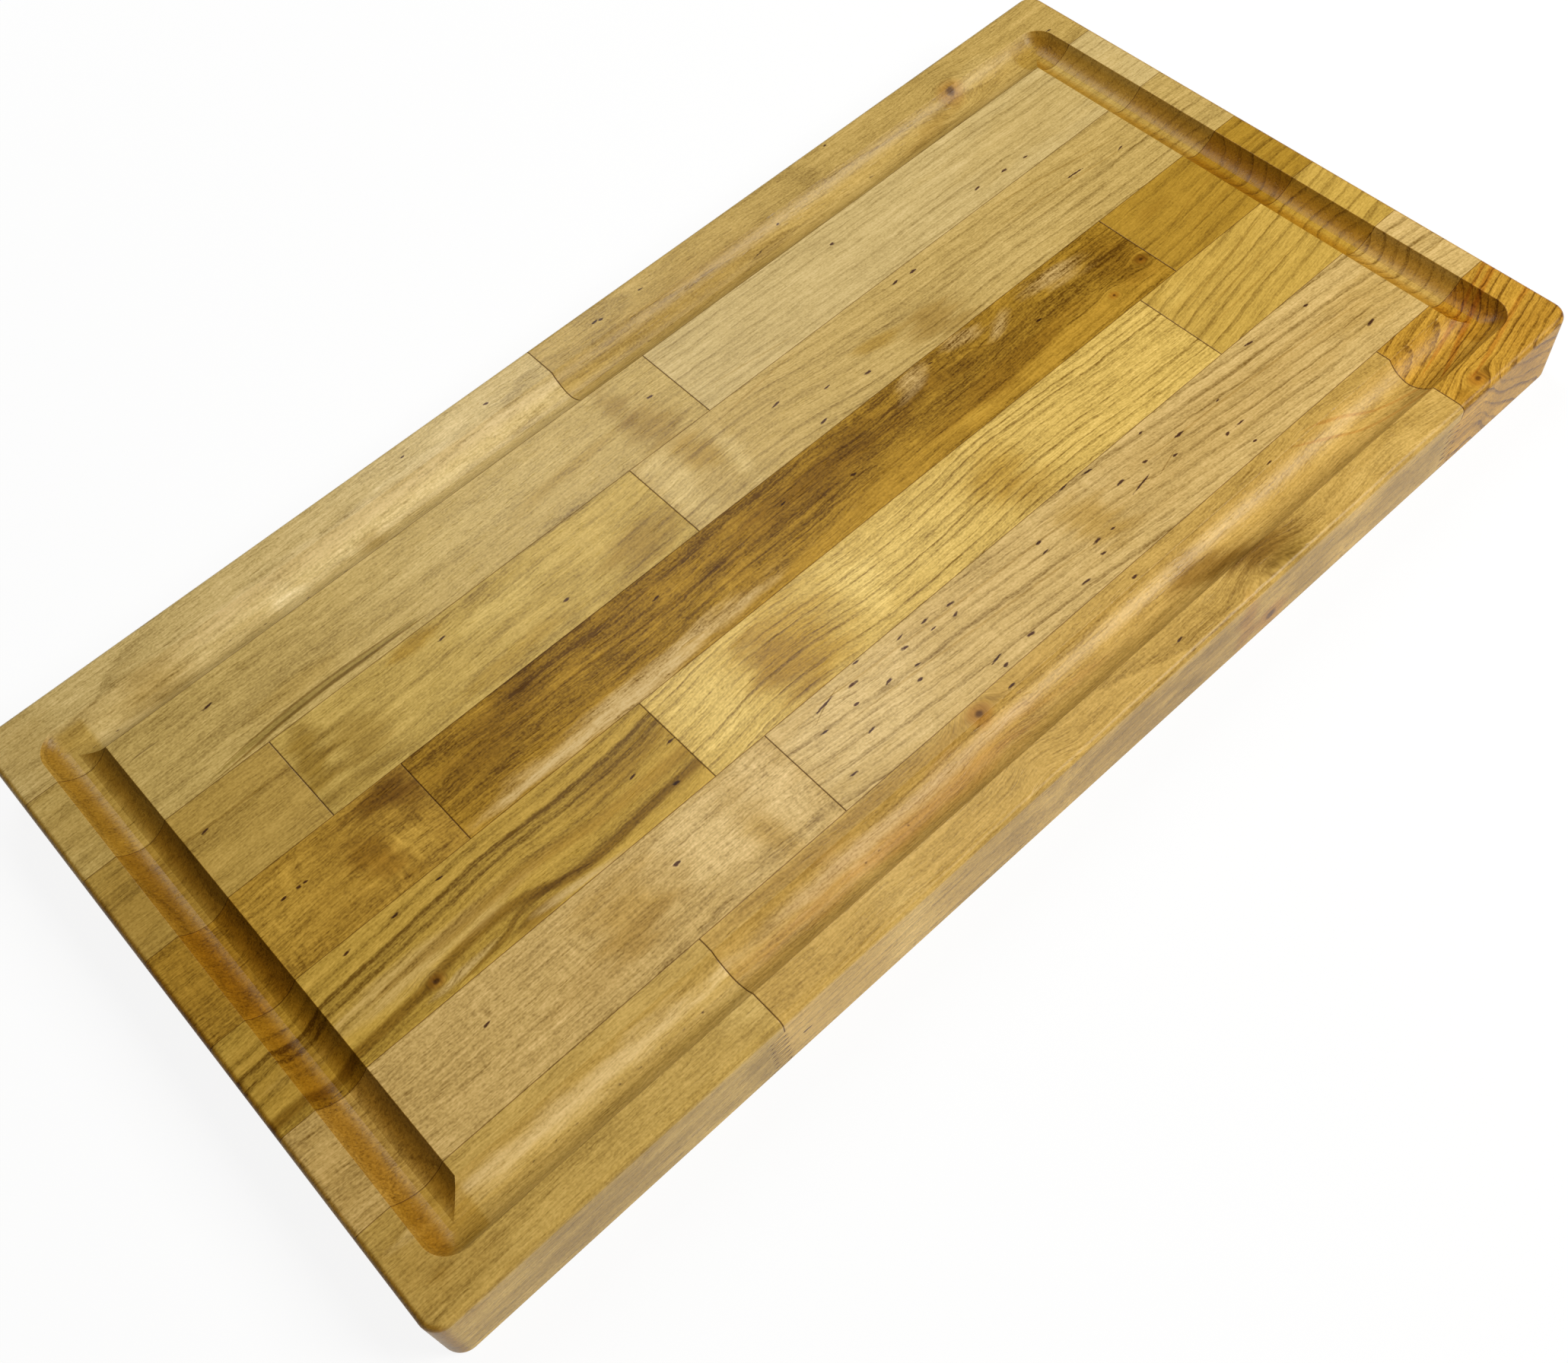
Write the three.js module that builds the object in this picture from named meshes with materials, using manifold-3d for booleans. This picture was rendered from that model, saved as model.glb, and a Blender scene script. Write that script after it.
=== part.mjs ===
// Butcher-block carving board: seven rows of solid birch staves, finger-jointed end to end and
// glued edge to edge, with a juice groove cut round the working surface.
// Millimetres. +X runs along the board to its right end, +Y to its back edge, +Z up.
// The origin is in the middle of the underside, which is flat.

import * as THREE from 'three';
import { mergeVertices } from 'three/addons/utils/BufferGeometryUtils.js';
import Module from 'manifold-3d';

// Board
const LENGTH = 610;
const WIDTH = 316;
const THICKNESS = 38;
const CORNER_RADIUS = 8; // in plan
const EDGE_RADIUS = 3; // round-over of the top and bottom edges
const CORNER_STEPS = 6;
const EDGE_STEPS = 4;

// Rows: the front edge row and the back edge row are ripped narrower than the five between them
const ROW_WIDTH = 45.875;
const FRONT_SEAM_Y = -113; // glue line behind the front edge row

// Juice groove: a cove with a narrow flat along its bottom, run round the working surface in a
// rectangle. Each flank is one arc that starts at a slope from the edge of the flat.
const GROOVE_WIDTH = 22.2;
const GROOVE_DEPTH = 6.5;
const GROOVE_FLAT = 2.4;
const FLANK_SLOPE = 12; // degrees, beside the flat
const FLANK_STEPS = 8;
const GROOVE_END_X = 278; // centre line of both end legs, from the middle
const GROOVE_FRONT_Y = -131;
const GROOVE_BACK_Y = 127.5;
const CORNER_BOWL_STEPS = 48; // facets in a full turn of the cutter

// Finger joints between the staves of a row. They run from the underside up to a plain shoulder
// 7.6 mm deep, so on the working surface and in the groove each joint is one straight line.
const FINGER_PITCH = 3.8;
const FINGER_LENGTH = 6.5;
const FINGER_TIP = 0.7;
const FINGER_COUNT = 8;
const FINGER_TOP_Z = FINGER_COUNT * FINGER_PITCH;
const GLUE_GAP = 0.15; // along X, between the two sides of a joint

const OVERSIZE = 5; // how far rough staves and the groove's cutter reach past the finished board

const TONES = {
  pale: 0xd2b67c,
  cream: 0xdcc48c,
  tan: 0xbf9d5e,
  golden: 0xbb8e48,
  yellow: 0xc79f45,
  amber: 0xb58a3c,
  olive: 0xa98546,
  brown: 0x95702f,
  umber: 0xa47f49,
  copper: 0xb07a3c,
};

// From the back edge to the front: each row's name, the X of its joints and its staves' tones
const ROWS = [
  { name: 'back_edge', joints: [-20.5], tones: ['pale', 'golden'] },
  { name: 'row_b', joints: [14], tones: ['pale', 'cream'] },
  { name: 'row_c', joints: [-218, -31.5], tones: ['tan', 'tan', 'pale'] },
  { name: 'row_d', joints: [-186, 210], tones: ['umber', 'brown', 'amber'] },
  { name: 'row_e', joints: [-102.5, 186.5], tones: ['olive', 'yellow', 'amber'] },
  { name: 'row_f', joints: [-77.5], tones: ['pale', 'cream'] },
  { name: 'front_edge', joints: [-150.5, 231.5], tones: ['pale', 'copper', 'golden'] },
];

const wasm = await Module();
wasm.setup();

function toSolid(geometry) {
  geometry.deleteAttribute('normal');
  geometry.deleteAttribute('uv');
  const merged = mergeVertices(geometry);
  return new wasm.Manifold(new wasm.Mesh({
    numProp: 3,
    vertProperties: merged.attributes.position.array,
    triVerts: merged.index.array,
  }));
}

function toGeometry(solid) {
  const { vertProperties, triVerts } = solid.getMesh();
  const geometry = new THREE.BufferGeometry();
  geometry.setAttribute('position', new THREE.BufferAttribute(vertProperties, 3));
  geometry.setIndex(new THREE.BufferAttribute(triVerts, 1));
  geometry.computeVertexNormals();
  return geometry;
}

function roundedRectangle(halfLength, halfWidth, radius) {
  const shape = new THREE.Shape();
  shape.absarc(halfLength - radius, halfWidth - radius, radius, 0, Math.PI / 2);
  shape.absarc(radius - halfLength, halfWidth - radius, radius, Math.PI / 2, Math.PI);
  shape.absarc(radius - halfLength, radius - halfWidth, radius, Math.PI, 1.5 * Math.PI);
  shape.absarc(halfLength - radius, radius - halfWidth, radius, 1.5 * Math.PI, 2 * Math.PI);
  return shape;
}

// The glued-up slab, planed, with its corners and edges rounded
function makeSlab() {
  const inner = roundedRectangle(
    LENGTH / 2 - EDGE_RADIUS, WIDTH / 2 - EDGE_RADIUS, CORNER_RADIUS - EDGE_RADIUS);
  const slab = new THREE.ExtrudeGeometry(inner, {
    depth: THICKNESS - 2 * EDGE_RADIUS,
    bevelThickness: EDGE_RADIUS,
    bevelSize: EDGE_RADIUS,
    bevelSegments: EDGE_STEPS,
    curveSegments: CORNER_STEPS,
  });
  slab.translate(0, 0, EDGE_RADIUS);
  return toSolid(slab);
}

// Half of the groove's section, from the middle out, as [distance from the middle, height]. Its
// last point carries the flank on in a straight line to above the board.
function grooveProfile() {
  const flankWidth = (GROOVE_WIDTH - GROOVE_FLAT) / 2;
  const start = THREE.MathUtils.degToRad(FLANK_SLOPE);
  const end = 2 * Math.atan(GROOVE_DEPTH / flankWidth) - start;
  const radius = flankWidth / (Math.sin(end) - Math.sin(start));
  const points = [[0, THICKNESS - GROOVE_DEPTH]];
  for (let i = 0; i <= FLANK_STEPS; i++) {
    const slope = start + (i / FLANK_STEPS) * (end - start);
    points.push([
      GROOVE_FLAT / 2 + radius * (Math.sin(slope) - Math.sin(start)),
      THICKNESS - GROOVE_DEPTH + radius * (Math.cos(start) - Math.cos(slope)),
    ]);
  }
  points.push([GROOVE_WIDTH / 2 + OVERSIZE / Math.tan(end), THICKNESS + OVERSIZE]);
  return points;
}

// A straight leg of the groove between two points in plan
function makeGrooveLeg(from, to) {
  const right = grooveProfile();
  const left = right.slice(1).reverse().map(([x, z]) => [-x, z]);
  const section = new THREE.Shape([...left, ...right].map(([x, z]) => new THREE.Vector2(x, z)));
  const leg = new THREE.ExtrudeGeometry(section, { depth: from.distanceTo(to), bevelEnabled: false });
  leg.rotateX(Math.PI / 2);
  leg.rotateZ(Math.atan2(to.y - from.y, to.x - from.x) + Math.PI / 2);
  leg.translate(from.x, from.y, 0);
  return toSolid(leg);
}

// The bowl that the cutter leaves where it turns a corner
function makeGrooveCorner(at) {
  const profile = grooveProfile().map(([r, z]) => new THREE.Vector2(r, z));
  profile.push(new THREE.Vector2(0, profile[profile.length - 1].y));
  const bowl = new THREE.LatheGeometry(profile, CORNER_BOWL_STEPS);
  bowl.rotateX(Math.PI / 2);
  bowl.translate(at.x, at.y, 0);
  return toSolid(bowl);
}

function makeGroove() {
  const corners = [
    new THREE.Vector2(-GROOVE_END_X, GROOVE_FRONT_Y),
    new THREE.Vector2(GROOVE_END_X, GROOVE_FRONT_Y),
    new THREE.Vector2(GROOVE_END_X, GROOVE_BACK_Y),
    new THREE.Vector2(-GROOVE_END_X, GROOVE_BACK_Y),
  ];
  let groove = makeGrooveCorner(corners[0]);
  corners.forEach((corner, i) => {
    groove = groove.add(makeGrooveLeg(corner, corners[(i + 1) % corners.length]));
    groove = groove.add(makeGrooveCorner(corner));
  });
  return groove;
}

// One side of a finger joint, from the top down, in the plane of X and Z
function jointOutline(x) {
  const flank = FINGER_PITCH / 2 - FINGER_TIP;
  const points = [new THREE.Vector2(x, THICKNESS + OVERSIZE)];
  for (let i = 0; i < FINGER_COUNT; i++) {
    const z = FINGER_TOP_Z - i * FINGER_PITCH;
    points.push(
      new THREE.Vector2(x, z),
      new THREE.Vector2(x - FINGER_LENGTH, z - flank),
      new THREE.Vector2(x - FINGER_LENGTH, z - flank - FINGER_TIP),
      new THREE.Vector2(x, z - 2 * flank - FINGER_TIP),
    );
  }
  points.push(new THREE.Vector2(x, -OVERSIZE));
  return points;
}

function plainEnd(x) {
  return [new THREE.Vector2(x, THICKNESS + OVERSIZE), new THREE.Vector2(x, -OVERSIZE)];
}

// A rough stave, with its jointed or plain ends, between two glue lines
function makeRoughStave(leftEnd, rightEnd, frontY, backY) {
  const outline = new THREE.Shape([...leftEnd, ...rightEnd.reverse()]);
  const stave = new THREE.ExtrudeGeometry(outline, { depth: 1, bevelEnabled: false });
  const position = stave.attributes.position;
  for (let i = 0; i < position.count; i++) {
    const y = position.getZ(i) > 0.5 ? frontY : backY;
    position.setXYZ(i, position.getX(i), y, position.getY(i));
  }
  return toSolid(stave);
}

function makeStaveMesh(solid, name, tone) {
  const material = new THREE.MeshStandardMaterial({
    color: TONES[tone], roughness: 0.45, metalness: 0,
  });
  const mesh = new THREE.Mesh(toGeometry(solid), material);
  mesh.name = name;
  return mesh;
}

function makeRow(row, frontY, backY, slab) {
  const group = new THREE.Group();
  row.tones.forEach((tone, i) => {
    const first = i === 0;
    const last = i === row.joints.length;
    const leftEnd = first ? plainEnd(-LENGTH / 2 - OVERSIZE)
      : jointOutline(row.joints[i - 1] + GLUE_GAP / 2);
    const rightEnd = last ? plainEnd(LENGTH / 2 + OVERSIZE)
      : jointOutline(row.joints[i] - GLUE_GAP / 2);
    const stave = makeRoughStave(leftEnd, rightEnd, frontY, backY).intersect(slab);
    group.add(makeStaveMesh(stave, `${row.name}_stave_${i + 1}`, tone));
  });
  return group;
}

function makeBoard() {
  const slab = makeSlab().subtract(makeGroove());
  const board = new THREE.Group();
  ROWS.forEach((row, i) => {
    const first = i === 0;
    const last = i === ROWS.length - 1;
    const backY = first ? WIDTH / 2 + OVERSIZE : FRONT_SEAM_Y + (ROWS.length - 1 - i) * ROW_WIDTH;
    const frontY = last ? -WIDTH / 2 - OVERSIZE : FRONT_SEAM_Y + (ROWS.length - 2 - i) * ROW_WIDTH;
    board.add(makeRow(row, frontY, backY, slab));
  });
  return board;
}

export default makeBoard();
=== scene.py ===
# Butcher-block carving board: eighteen birch staves in seven rows, with a juice groove.
# The staves are rebuilt at a finer resolution than the CAD's, in the same places, and each gets
# a solid wood material of its own. Numbers are in millimetres on the board's axes unless a comment
# says otherwise: +X along the board, +Y to its back edge, +Z up, the origin under its middle.

import math
from dataclasses import dataclass

import bmesh
import bpy
from mathutils import Matrix, Vector


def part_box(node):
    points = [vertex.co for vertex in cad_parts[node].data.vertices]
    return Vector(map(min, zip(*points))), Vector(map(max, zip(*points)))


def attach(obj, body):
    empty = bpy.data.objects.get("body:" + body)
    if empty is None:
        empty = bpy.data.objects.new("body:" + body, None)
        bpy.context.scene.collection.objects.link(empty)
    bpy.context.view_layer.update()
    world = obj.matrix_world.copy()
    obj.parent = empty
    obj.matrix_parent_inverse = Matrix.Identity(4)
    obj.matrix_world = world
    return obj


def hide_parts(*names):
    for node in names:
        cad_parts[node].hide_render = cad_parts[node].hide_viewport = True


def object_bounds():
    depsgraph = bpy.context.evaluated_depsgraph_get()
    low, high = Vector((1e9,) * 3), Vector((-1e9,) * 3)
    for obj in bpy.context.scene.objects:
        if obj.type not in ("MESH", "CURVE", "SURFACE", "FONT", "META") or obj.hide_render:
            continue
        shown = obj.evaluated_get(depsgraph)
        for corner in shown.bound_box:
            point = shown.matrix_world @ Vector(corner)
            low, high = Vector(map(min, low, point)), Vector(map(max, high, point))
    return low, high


MM = 0.001

# Finished board
CORNER_RADIUS = 8
EDGE_RADIUS = 3
CORNER_STEPS = 20
EDGE_STEPS = 8
SHARPEST_SMOOTH_BEND = math.radians(11.5)

# Juice groove: a cove with a narrow flat along its bottom
GROOVE_WIDTH = 22.2
GROOVE_DEPTH = 6.5
GROOVE_FLAT = 2.4
FLANK_SLOPE = math.radians(12)
FLANK_STEPS = 18
GROOVE_END_X = 278
GROOVE_FRONT_Y = -131
GROOVE_BACK_Y = 127.5
ARRIS_RADIUS = 0.5  # the groove's edges are eased by sanding
ARRIS_STEPS = 5

# Finger joints between the staves of a row
FINGER_PITCH = 3.8
FINGER_LENGTH = 6.5
FINGER_TIP = 0.7
FINGER_COUNT = 8
FINGER_TOP_Z = FINGER_COUNT * FINGER_PITCH
FINGER_FLANK = FINGER_PITCH / 2 - FINGER_TIP

OVERSIZE = 5  # how far an outer rough stave reaches past the planed board

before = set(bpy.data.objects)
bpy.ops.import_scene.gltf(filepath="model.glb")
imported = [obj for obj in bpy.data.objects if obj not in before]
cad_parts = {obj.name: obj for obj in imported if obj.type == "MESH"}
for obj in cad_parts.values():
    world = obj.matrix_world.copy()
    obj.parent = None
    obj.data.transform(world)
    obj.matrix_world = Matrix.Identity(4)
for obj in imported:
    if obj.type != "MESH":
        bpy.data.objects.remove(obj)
cad_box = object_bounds()
HALF_LENGTH, HALF_WIDTH, THICKNESS = cad_box[1] / MM  # the board's middle is at X and Y zero


# ---------------------------------------------------------------- camera, light and floor

# Metres, except the lens and its sensor
CAMERA_AT = Vector((-0.25866, -0.35711, 0.62460))
CAMERA_AIM = Vector((-0.04927, -0.04465, 0.019))
CAMERA_ROLL = math.radians(-9.899)
CAMERA_LENS = 40.60
CAMERA_SENSOR = 36

WORLD_GLOW = 0.08  # how much the backdrop lights the board

FLOOR_REACH = 30.0
FLOOR_GLOW = 0.90  # share of the paper's light that is its own, under and beside the board
FLOOR_GLOW_RISES_FROM = 0.35  # distance from the board's middle where that share starts to rise
FLOOR_GLOW_RISES_TO = 1.2  # distance where it reaches 1
PAPER_GRAIN = 900  # lumps in a metre
PAPER_COLOURS = [(0.90, 0.90, 0.895), (0.94, 0.94, 0.935)]


def add_camera():
    data = bpy.data.cameras.new("camera")
    data.lens = CAMERA_LENS
    data.sensor_fit = "HORIZONTAL"
    data.sensor_width = CAMERA_SENSOR
    data.clip_start = 0.01
    camera = bpy.data.objects.new("camera", data)
    bpy.context.scene.collection.objects.link(camera)
    ahead = (CAMERA_AIM - CAMERA_AT).normalized()
    level = ahead.cross(Vector((0, 0, 1))).normalized()
    upright = level.cross(ahead)
    right = level * math.cos(CAMERA_ROLL) + upright * math.sin(CAMERA_ROLL)
    up = right.cross(ahead)
    turn = Matrix((right, up, -ahead)).transposed()
    camera.matrix_world = Matrix.Translation(CAMERA_AT) @ turn.to_4x4()
    bpy.context.scene.camera = camera


def add_softbox(name, place, aim, width, length, watts, colour=(1, 1, 1)):
    """An area light in metres and watts, whose length lies as near as it can to the Y axis."""
    data = bpy.data.lights.new(name, "AREA")
    data.shape = "RECTANGLE"
    data.size = width
    data.size_y = length
    data.energy = watts
    data.color = colour
    light = bpy.data.objects.new(name, data)
    back = (Vector(place) - Vector(aim)).normalized()
    side = Vector((0, 1, 0)).cross(back).normalized()
    turn = Matrix((side, back.cross(side), back)).transposed()
    light.matrix_world = Matrix.Translation(place) @ turn.to_4x4()
    bpy.context.scene.collection.objects.link(light)


def add_lights():
    """A key from the right, a strip whose reflection lies across the rows, and a low front fill."""
    add_softbox("key", place=(1.05, -1.20, 1.50), aim=(0, 0, 0),
                width=0.8, length=0.8, watts=45.5, colour=(1.0, 0.99, 0.96))
    add_softbox("strip", place=(0.43, 0.90, 1.40), aim=(-0.05, 0.02, 0),
                width=0.25, length=1.2, watts=13)
    add_softbox("front_fill", place=(-0.28, -1.70, 0.75), aim=(0, 0, 0),
                width=1.2, length=0.8, watts=0.6)


def set_world():
    """A white backdrop to the eye, which lights the board only faintly."""
    world = bpy.data.worlds.new("studio")
    world.use_nodes = True
    bpy.context.scene.world = world
    nodes = world.node_tree.nodes
    nodes.clear()
    glow = nodes.new("ShaderNodeBackground")
    glow.inputs["Strength"].default_value = WORLD_GLOW
    backdrop = nodes.new("ShaderNodeBackground")
    backdrop.inputs["Color"].default_value = (1, 1, 1, 1)
    path = nodes.new("ShaderNodeLightPath")
    mix = nodes.new("ShaderNodeMixShader")
    output = nodes.new("ShaderNodeOutputWorld")
    links = world.node_tree.links
    links.new(path.outputs["Is Camera Ray"], mix.inputs[0])
    links.new(glow.outputs[0], mix.inputs[1])
    links.new(backdrop.outputs[0], mix.inputs[2])
    links.new(mix.outputs[0], output.inputs["Surface"])
    bpy.context.scene.view_settings.view_transform = "Standard"


# ---------------------------------------------------------------- node trees as arithmetic

class Field:
    """A value, vector or colour inside a material's node tree, used like a number."""

    def __init__(self, net, socket):
        self.net = net
        self.socket = socket

    def __add__(self, other):
        return self.net.math("ADD", self, other)

    def __sub__(self, other):
        return self.net.math("SUBTRACT", self, other)

    def __rsub__(self, other):
        return self.net.math("SUBTRACT", other, self)

    def __mul__(self, other):
        return self.net.math("MULTIPLY", self, other)

    def __truediv__(self, other):
        return self.net.math("DIVIDE", self, other)

    def __abs__(self):
        return self.net.math("ABSOLUTE", self)


class Net:
    """The node tree of one material."""

    def __init__(self, name):
        self.material = bpy.data.materials.new(name)
        self.material.use_nodes = True
        self.nodes = self.material.node_tree.nodes
        self.links = self.material.node_tree.links
        self.nodes.clear()

    def node(self, kind, inputs=None, output=0, **settings):
        """Adds a node whose inputs are fields or fixed values, and gives one of its outputs."""
        made = self.nodes.new("ShaderNode" + kind)
        for key, value in settings.items():
            setattr(made, key, value)
        for key, value in (inputs or {}).items():
            if isinstance(value, Field):
                self.links.new(value.socket, made.inputs[key])
            else:
                made.inputs[key].default_value = value
        return Field(self, made.outputs[output])

    def math(self, operation, *values, clamp=False):
        return self.node("Math", dict(enumerate(values)), operation=operation, use_clamp=clamp)

    def vector(self, x, y, z):
        return self.node("CombineXYZ", {0: x, 1: y, 2: z})

    def scaled(self, vector, factor):
        return self.node("VectorMath", {0: vector, 1: (factor,) * 3}, operation="MULTIPLY")

    def axes(self, vector):
        parts = self.nodes.new("ShaderNodeSeparateXYZ")
        self.links.new(vector.socket, parts.inputs[0])
        return [Field(self, part) for part in parts.outputs]

    def length(self, vector):
        return self.node("VectorMath", {0: vector}, "Value", operation="LENGTH")

    def noise(self, vector, detail=2.0, roughness=0.5):
        """Smooth noise around zero, from about -0.5 to 0.5, one lump per unit."""
        inputs = {"Vector": vector, "Scale": 1.0, "Detail": detail, "Roughness": roughness}
        return self.node("TexNoise", inputs) - 0.5

    def step(self, value, low, high):
        """Rises smoothly from 0 at low to 1 at high; falls if low is above high."""
        inputs = {"Value": value, "From Min": low, "From Max": high}
        return self.node("MapRange", inputs, interpolation_type="SMOOTHSTEP")

    def ramp(self, value, colours):
        """Colours spread evenly over values from 0 to 1."""
        ramp = self.node("ValToRGB", {0: value})
        elements = ramp.socket.node.color_ramp.elements
        last = len(colours) - 1
        while len(elements) < len(colours):
            elements.new(0.5)
        for i, colour in enumerate(colours):
            elements[i].position = i / last
            elements[i].color = (*colour, 1)
        return ramp

    def tint(self, colour, by, amount, blend="MULTIPLY"):
        """The colour multiplied by another, or mixed with it, as far as amount says."""
        inputs = {0: amount, 6: colour, 7: (*by, 1)}
        return self.node("Mix", inputs, 2, data_type="RGBA", blend_type=blend)

    def finish(self, shader):
        output = self.nodes.new("ShaderNodeOutputMaterial")
        self.links.new(shader.socket, output.inputs["Surface"])

    def course(self, x, points):
        """The second value, at x, of a smooth line through points given from left to right."""
        first_x, last_x = points[0][0], points[-1][0]
        low = min(y for _, y in points) - 1
        span = max(y for _, y in points) + 1 - low
        length = last_x - first_x
        places = [((px - first_x) / length, (py - low) / span) for px, py in points]
        line = self.node("FloatCurve", {"Value": (x - first_x) / length})
        mapping = line.socket.node.mapping
        curve = mapping.curves[0].points
        curve[0].location = places[0]
        curve[1].location = places[-1]
        for place in places[1:-1]:
            curve.new(*place)
        mapping.update()
        return line * span + low


def linear(red, green, blue):
    """A colour given as 0 to 255 display values, in the linear values that shaders use."""
    return tuple(((c / 255 + 0.055) / 1.055) ** 2.4 for c in (red, green, blue))


def add_floor():
    """White paper, nearly as bright in the board's shadow as out of it."""
    net = Net("floor_paper")
    place = net.node("TexCoord", output="Object")
    grain = net.noise(net.scaled(place, PAPER_GRAIN), 1)
    paper = net.ramp(grain + 0.5, PAPER_COLOURS)
    matt = net.node("BsdfDiffuse", {"Color": paper})
    glow = net.node("Emission", {"Color": (1, 1, 1, 1), "Strength": 1.0})
    away = net.step(net.length(place), FLOOR_GLOW_RISES_FROM, FLOOR_GLOW_RISES_TO)
    net.finish(net.node("MixShader", {
        0: away * (1 - FLOOR_GLOW) + FLOOR_GLOW,
        1: matt,
        2: glow,
    }))
    mesh = bpy.data.meshes.new("floor")
    sides = ((-1, -1), (1, -1), (1, 1), (-1, 1))
    corners = [(side_x * FLOOR_REACH, side_y * FLOOR_REACH, 0) for side_x, side_y in sides]
    mesh.from_pydata(corners, [], [(0, 1, 2, 3)])
    mesh.materials.append(net.material)
    floor = bpy.data.objects.new("floor", mesh)
    bpy.context.scene.collection.objects.link(floor)


# ---------------------------------------------------------------- wood

# Stains multiply the wood's colour by one of these, and pale sapwood is mixed in.
# Two of them are painted light: the whitening tint is painted sheen, and the greyish shade
# tint is painted shade on the board's front side. The pale mix also paints highlights on the
# groove's flanks.
TINTS = {
    "smoke": (0.56, 0.48, 0.22),
    "brown": (0.62, 0.52, 0.26),
    "heart": (0.46, 0.36, 0.13),
    "olive": (0.48, 0.44, 0.18),
    "gold": (0.78, 0.69, 0.38),
    # painted sheen: a whitish lift of the wood's colour
    "cream": (1.26, 1.34, 1.65),
    "rust": (0.78, 0.52, 0.25),
    # painted shade: greys the board's front side
    "shade": (0.62, 0.58, 0.46),
    "plum": (0.14, 0.08, 0.09),
    "ink": (0.22, 0.15, 0.11),
}
# pale sapwood, and painted highlights where it lies along the groove's flanks
PALE_WOOD_AND_HIGHLIGHT = linear(214, 184, 126)
DARKEST = (0.34, 0.27, 0.13)  # the wood's darkest figure over its own colour
PALEST = (1.50, 1.56, 2.00)
END_GRAIN = (0.72, 0.58, 0.26)
OILED = (0.84, 0.77, 0.50)  # the groove's end legs cut across the fibres and drink more oil
GLUE = (0.30, 0.20, 0.12)

# Size of each part of the figure, along the grain and across it
DRIFT_SIZE = (85, 60)
RIPPLE_SIZE = (7, 9)
RING_WOBBLE_SIZE = (38, 16)
STREAK_SIZE = (240, 5.2)
MOTTLE_SIZE = (26, 9)
SILK_SIZE = (2.4, 11)
FINE_SIZE = (26, 1.2)
FIBRE_SIZE = (7, 0.6)
GRIT_SIZE = (1.2, 0.9)
PORE_SIZE = (11, 0.8)
SILK_WHERE = (-0.12, 0.22)  # the silk fades in as the mottle's noise rises between these
PORE_WHERE = (0.11, 0.25)  # pores fade in as their own noise rises between these

RING_WOBBLE = 2.2  # how far the growth rings stray from circles
RING_UNEVENNESS = 0.9  # how much their spacing varies
RING_STRENGTH = 0.65  # of a line, on average
RING_STRENGTH_VARIES = 1.8
LATEWOOD = (0.60, 0.93, 0.95, 1.0)  # where its dark line rises and falls within each ring

# How strongly each part shows in the tone
RING_LINES = 1.3
RING_DRIFT = 0.12
STREAKS = 0.9
MOTTLE = 1.3
SILK = 1.6
FINE = 0.5
FIBRE = 0.8
GRIT = 0.55
PORES = 0.08

SIDE_FLECK_Z = 15.5  # height of the flecks that show on the board's front side
STAIN_DEPTH = 26  # how far a patch or a fleck reaches into the wood
FLECK_DEPTH = 7
GLUE_LINE = 0.32  # half the width of a glue line
GLUE_LINE_VARIES = 0.16
GLUE_LINE_CORE = 0.05  # half the width of its darkest part
GLUE_STRENGTH = 0.8

ROUGHNESS = 0.36
ROUGHNESS_VARIES = 0.08
BUMP_STRENGTH = 0.5
BUMP_HEIGHT = 0.00014  # metres


@dataclass
class Wood:
    """One stave's timber. Blots, strokes, flecks and knots are placed on the board's axes.

    A blot or a fleck whose y lies past the front edge is on the board's front side.
    """

    slot: str
    colour: tuple  # 0 to 255 display values
    pith: tuple  # (Y, Z) of the middle of the tree, from the stave's own middle
    lean: float = 0.0  # how far the grain climbs in Y for each mm of X
    dive: float = 0.02  # how far the pith rises for each mm of X
    spacing: float = 5.5  # between growth rings
    rings: float = 0.12  # how dark the growth lines are
    wave: float = 3.0  # how far the grain wanders
    streaks: float = 0.30  # strength of the long bands along the grain
    mottle: float = 0.22  # strength of the cloudy patches
    silk: float = 0.16  # strength of the short bands across the grain
    figure: float = 1.0  # strength of the fine lines
    gloss: float = 0.16  # specular level
    course: tuple = ()  # points along one line of the grain, where it isn't straight
    layers: tuple = ()  # (Y from the stave's middle at the same grain line, lighter or darker)
    bends: tuple = ()  # (x, how far the grain swings in Y, length)
    blots: tuple = ()  # (tint, amount, x, y, length, width, turn in degrees)
    strokes: tuple = ()  # (tint, amount, width, points)
    flecks: tuple = ()  # (x, y, length)
    knots: tuple = ()  # (x, y, z, size)


# Besides real stains, the blots hold painted light: whitening tints are painted sheen, greyish
# shade tints on the front side and the brown at each row's left end are painted shade, and pale
# mixes on the groove's flanks are painted highlights.
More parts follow.
